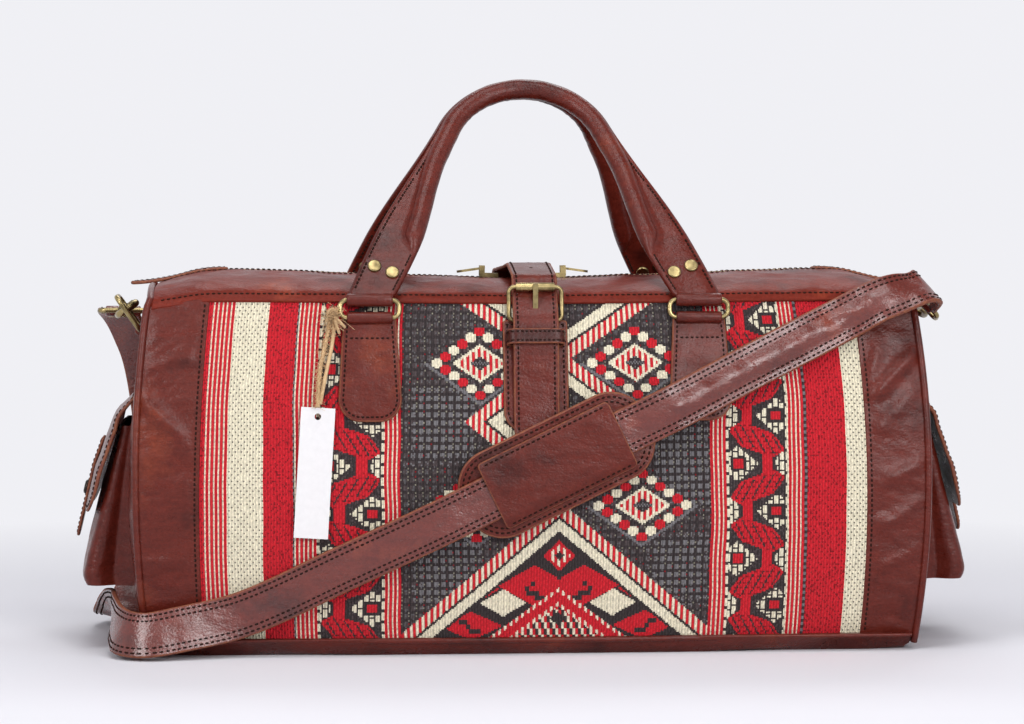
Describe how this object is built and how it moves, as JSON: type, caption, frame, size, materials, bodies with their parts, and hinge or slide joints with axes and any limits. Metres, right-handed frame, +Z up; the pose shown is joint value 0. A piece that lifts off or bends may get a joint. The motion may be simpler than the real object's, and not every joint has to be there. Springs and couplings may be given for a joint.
{
  "type": "travel bag",
  "caption": "Zipped travel bag of woven kilim and brown leather with carrying handles, a buckled closing strap, end pockets and a padded shoulder strap.",
  "frame": {"origin": "middle of the base, on the floor", "axes": "+X along the bag to the right seen from the front, front faces -Y, +Z up"},
  "size_m": [0.6276, 0.2618, 0.3938],
  "materials": {
    "leather": "waxed, creased",
    "kilim": "woven wool",
    "brass": "antique, satin",
    "zip_tape": "woven",
    "card": "matt",
    "twine": "twisted jute"
  },
  "bodies": {
    "bag": {"back_kilim_panel": "kilim", "back_left_corner_panel": "leather", "back_right_corner_panel": "leather", "back_top_facing": "leather", "base_panel": "leather", "base_welts": "leather", "buckle_frame": "brass", "buckle_patch": "leather", "buckle_prong": "brass", "closing_strap": "leather", "end_piping": "leather", "end_ring_left": "brass", "end_ring_right": "brass", "end_tab_left": "leather", "end_tab_right": "leather", "front_kilim_panel": "kilim", "front_left_corner_panel": "leather", "front_right_corner_panel": "leather", "front_top_facing": "leather", "hook_eye_left": "brass", "hook_eye_right": "brass", "left_end_panel": "leather", "left_pocket": "leather", "right_end_panel": "leather", "right_pocket": "leather", "shoulder_strap": "leather", "shoulder_strap_rivets": "brass", "strap_keeper": "leather", "tab_back_left": "leather", "tab_back_right": "leather", "tab_front_left": "leather", "tab_front_right": "leather", "tag_card": "card", "tag_twine": "twine", "zip_end_tabs": "leather", "zip_tape": "zip_tape", "zip_teeth": "brass"},
    "front_rings": {"ring_front_left": "brass", "ring_front_right": "brass"},
    "back_rings": {"ring_back_left": "brass", "ring_back_right": "brass"},
    "front_handle": {"front_handle": "leather", "front_handle_rivets": "brass"},
    "back_handle": {"back_handle": "leather", "back_handle_rivets": "brass"},
    "zip_slider_left": {"zip_slider_left": "brass"},
    "zip_slider_right": {"zip_slider_right": "brass"},
    "zip_pull_left": {"zip_pull_left": "brass"},
    "zip_pull_right": {"zip_pull_right": "brass"},
    "buckle_roller": {"buckle_roller": "brass"},
    "left_flap": {"left_pocket_flap": "leather", "left_flap_stud": "brass"},
    "right_flap": {"right_pocket_flap": "leather", "right_flap_stud": "brass"},
    "shoulder_pad": {"shoulder_pad": "leather", "pad_sleeve": "leather"},
    "snap_hook_left": {"snap_hook_left": "brass"},
    "snap_hook_right": {"snap_hook_right": "brass"},
    "hook_gate_left": {"hook_gate_left": "brass"},
    "hook_gate_right": {"hook_gate_right": "brass"}
  },
  "joints": [
    {"name": "front_ring_swing", "type": "hinge", "parent": "bag", "child": "front_rings", "pos_m": [0, -0.10587, 0.229], "axis": [1, 0, 0], "range_deg": [0, 85]},
    {"name": "front_handle_swing", "type": "hinge", "parent": "front_rings", "child": "front_handle", "pos_m": [0, -0.10421, 0.24088], "axis": [1, 0, 0], "range_deg": [0, 90]},
    {"name": "back_ring_swing", "type": "hinge", "parent": "bag", "child": "back_rings", "pos_m": [0, 0.10587, 0.229], "axis": [-1, 0, 0], "range_deg": [0, 85]},
    {"name": "back_handle_swing", "type": "hinge", "parent": "back_rings", "child": "back_handle", "pos_m": [0, 0.10421, 0.24088], "axis": [-1, 0, 0], "range_deg": [0, 90]},
    {"name": "zip_slider_left_slide", "type": "slide", "parent": "bag", "child": "zip_slider_left", "axis": [-0.9994, 0, 0.0354], "range_m": [0, 0.165]},
    {"name": "zip_pull_left_swing", "type": "hinge", "parent": "zip_slider_left", "child": "zip_pull_left", "pos_m": [-0.02871, 0, 0.26082], "axis": [0, 1, 0], "range_deg": [0, 110]},
    {"name": "zip_slider_right_slide", "type": "slide", "parent": "bag", "child": "zip_slider_right", "axis": [0.9994, 0, 0.0354], "range_m": [0, 0.165]},
    {"name": "zip_pull_right_swing", "type": "hinge", "parent": "zip_slider_right", "child": "zip_pull_right", "pos_m": [0.02871, 0, 0.26082], "axis": [0, -1, 0], "range_deg": [0, 110]},
    {"name": "buckle_roller_spin", "type": "hinge", "parent": "bag", "child": "buckle_roller", "pos_m": [0, -0.10625, 0.24957], "axis": [1, 0, 0], "continuous": true},
    {"name": "left_flap_open", "type": "hinge", "parent": "bag", "child": "left_flap", "pos_m": [-0.26959, 0, 0.176], "axis": [0, 1, 0], "range_deg": [0, 75]},
    {"name": "right_flap_open", "type": "hinge", "parent": "bag", "child": "right_flap", "pos_m": [0.26959, 0, 0.176], "axis": [0, -1, 0], "range_deg": [0, 75]},
    {"name": "shoulder_pad_slide", "type": "slide", "parent": "bag", "child": "shoulder_pad", "axis": [0.8988, 0, 0.4384], "range_m": [-0.02, 0.02]},
    {"name": "snap_hook_left_swivel", "type": "hinge", "parent": "bag", "child": "snap_hook_left", "pos_m": [-0.28209, 0.05076, 0.22998], "axis": [0.1003, -0.9925, 0.0702], "range_deg": [-15, 15]},
    {"name": "hook_gate_left_open", "type": "hinge", "parent": "snap_hook_left", "child": "hook_gate_left", "pos_m": [-0.2759, 0.03356, 0.23431], "axis": [0.5736, 0, -0.8192], "range_deg": [0, 25], "stiffness_Nm_per_rad": 0.02},
    {"name": "snap_hook_right_swivel", "type": "hinge", "parent": "bag", "child": "snap_hook_right", "pos_m": [0.27496, -0.05008, 0.23876], "axis": [0.1227, 0.9712, -0.2045], "range_deg": [-15, 15]},
    {"name": "hook_gate_right_open", "type": "hinge", "parent": "snap_hook_right", "child": "hook_gate_right", "pos_m": [0.27285, -0.03141, 0.23811], "axis": [-0.5883, -0.0948, -0.8031], "range_deg": [0, 25], "stiffness_Nm_per_rad": 0.02}
  ]
}
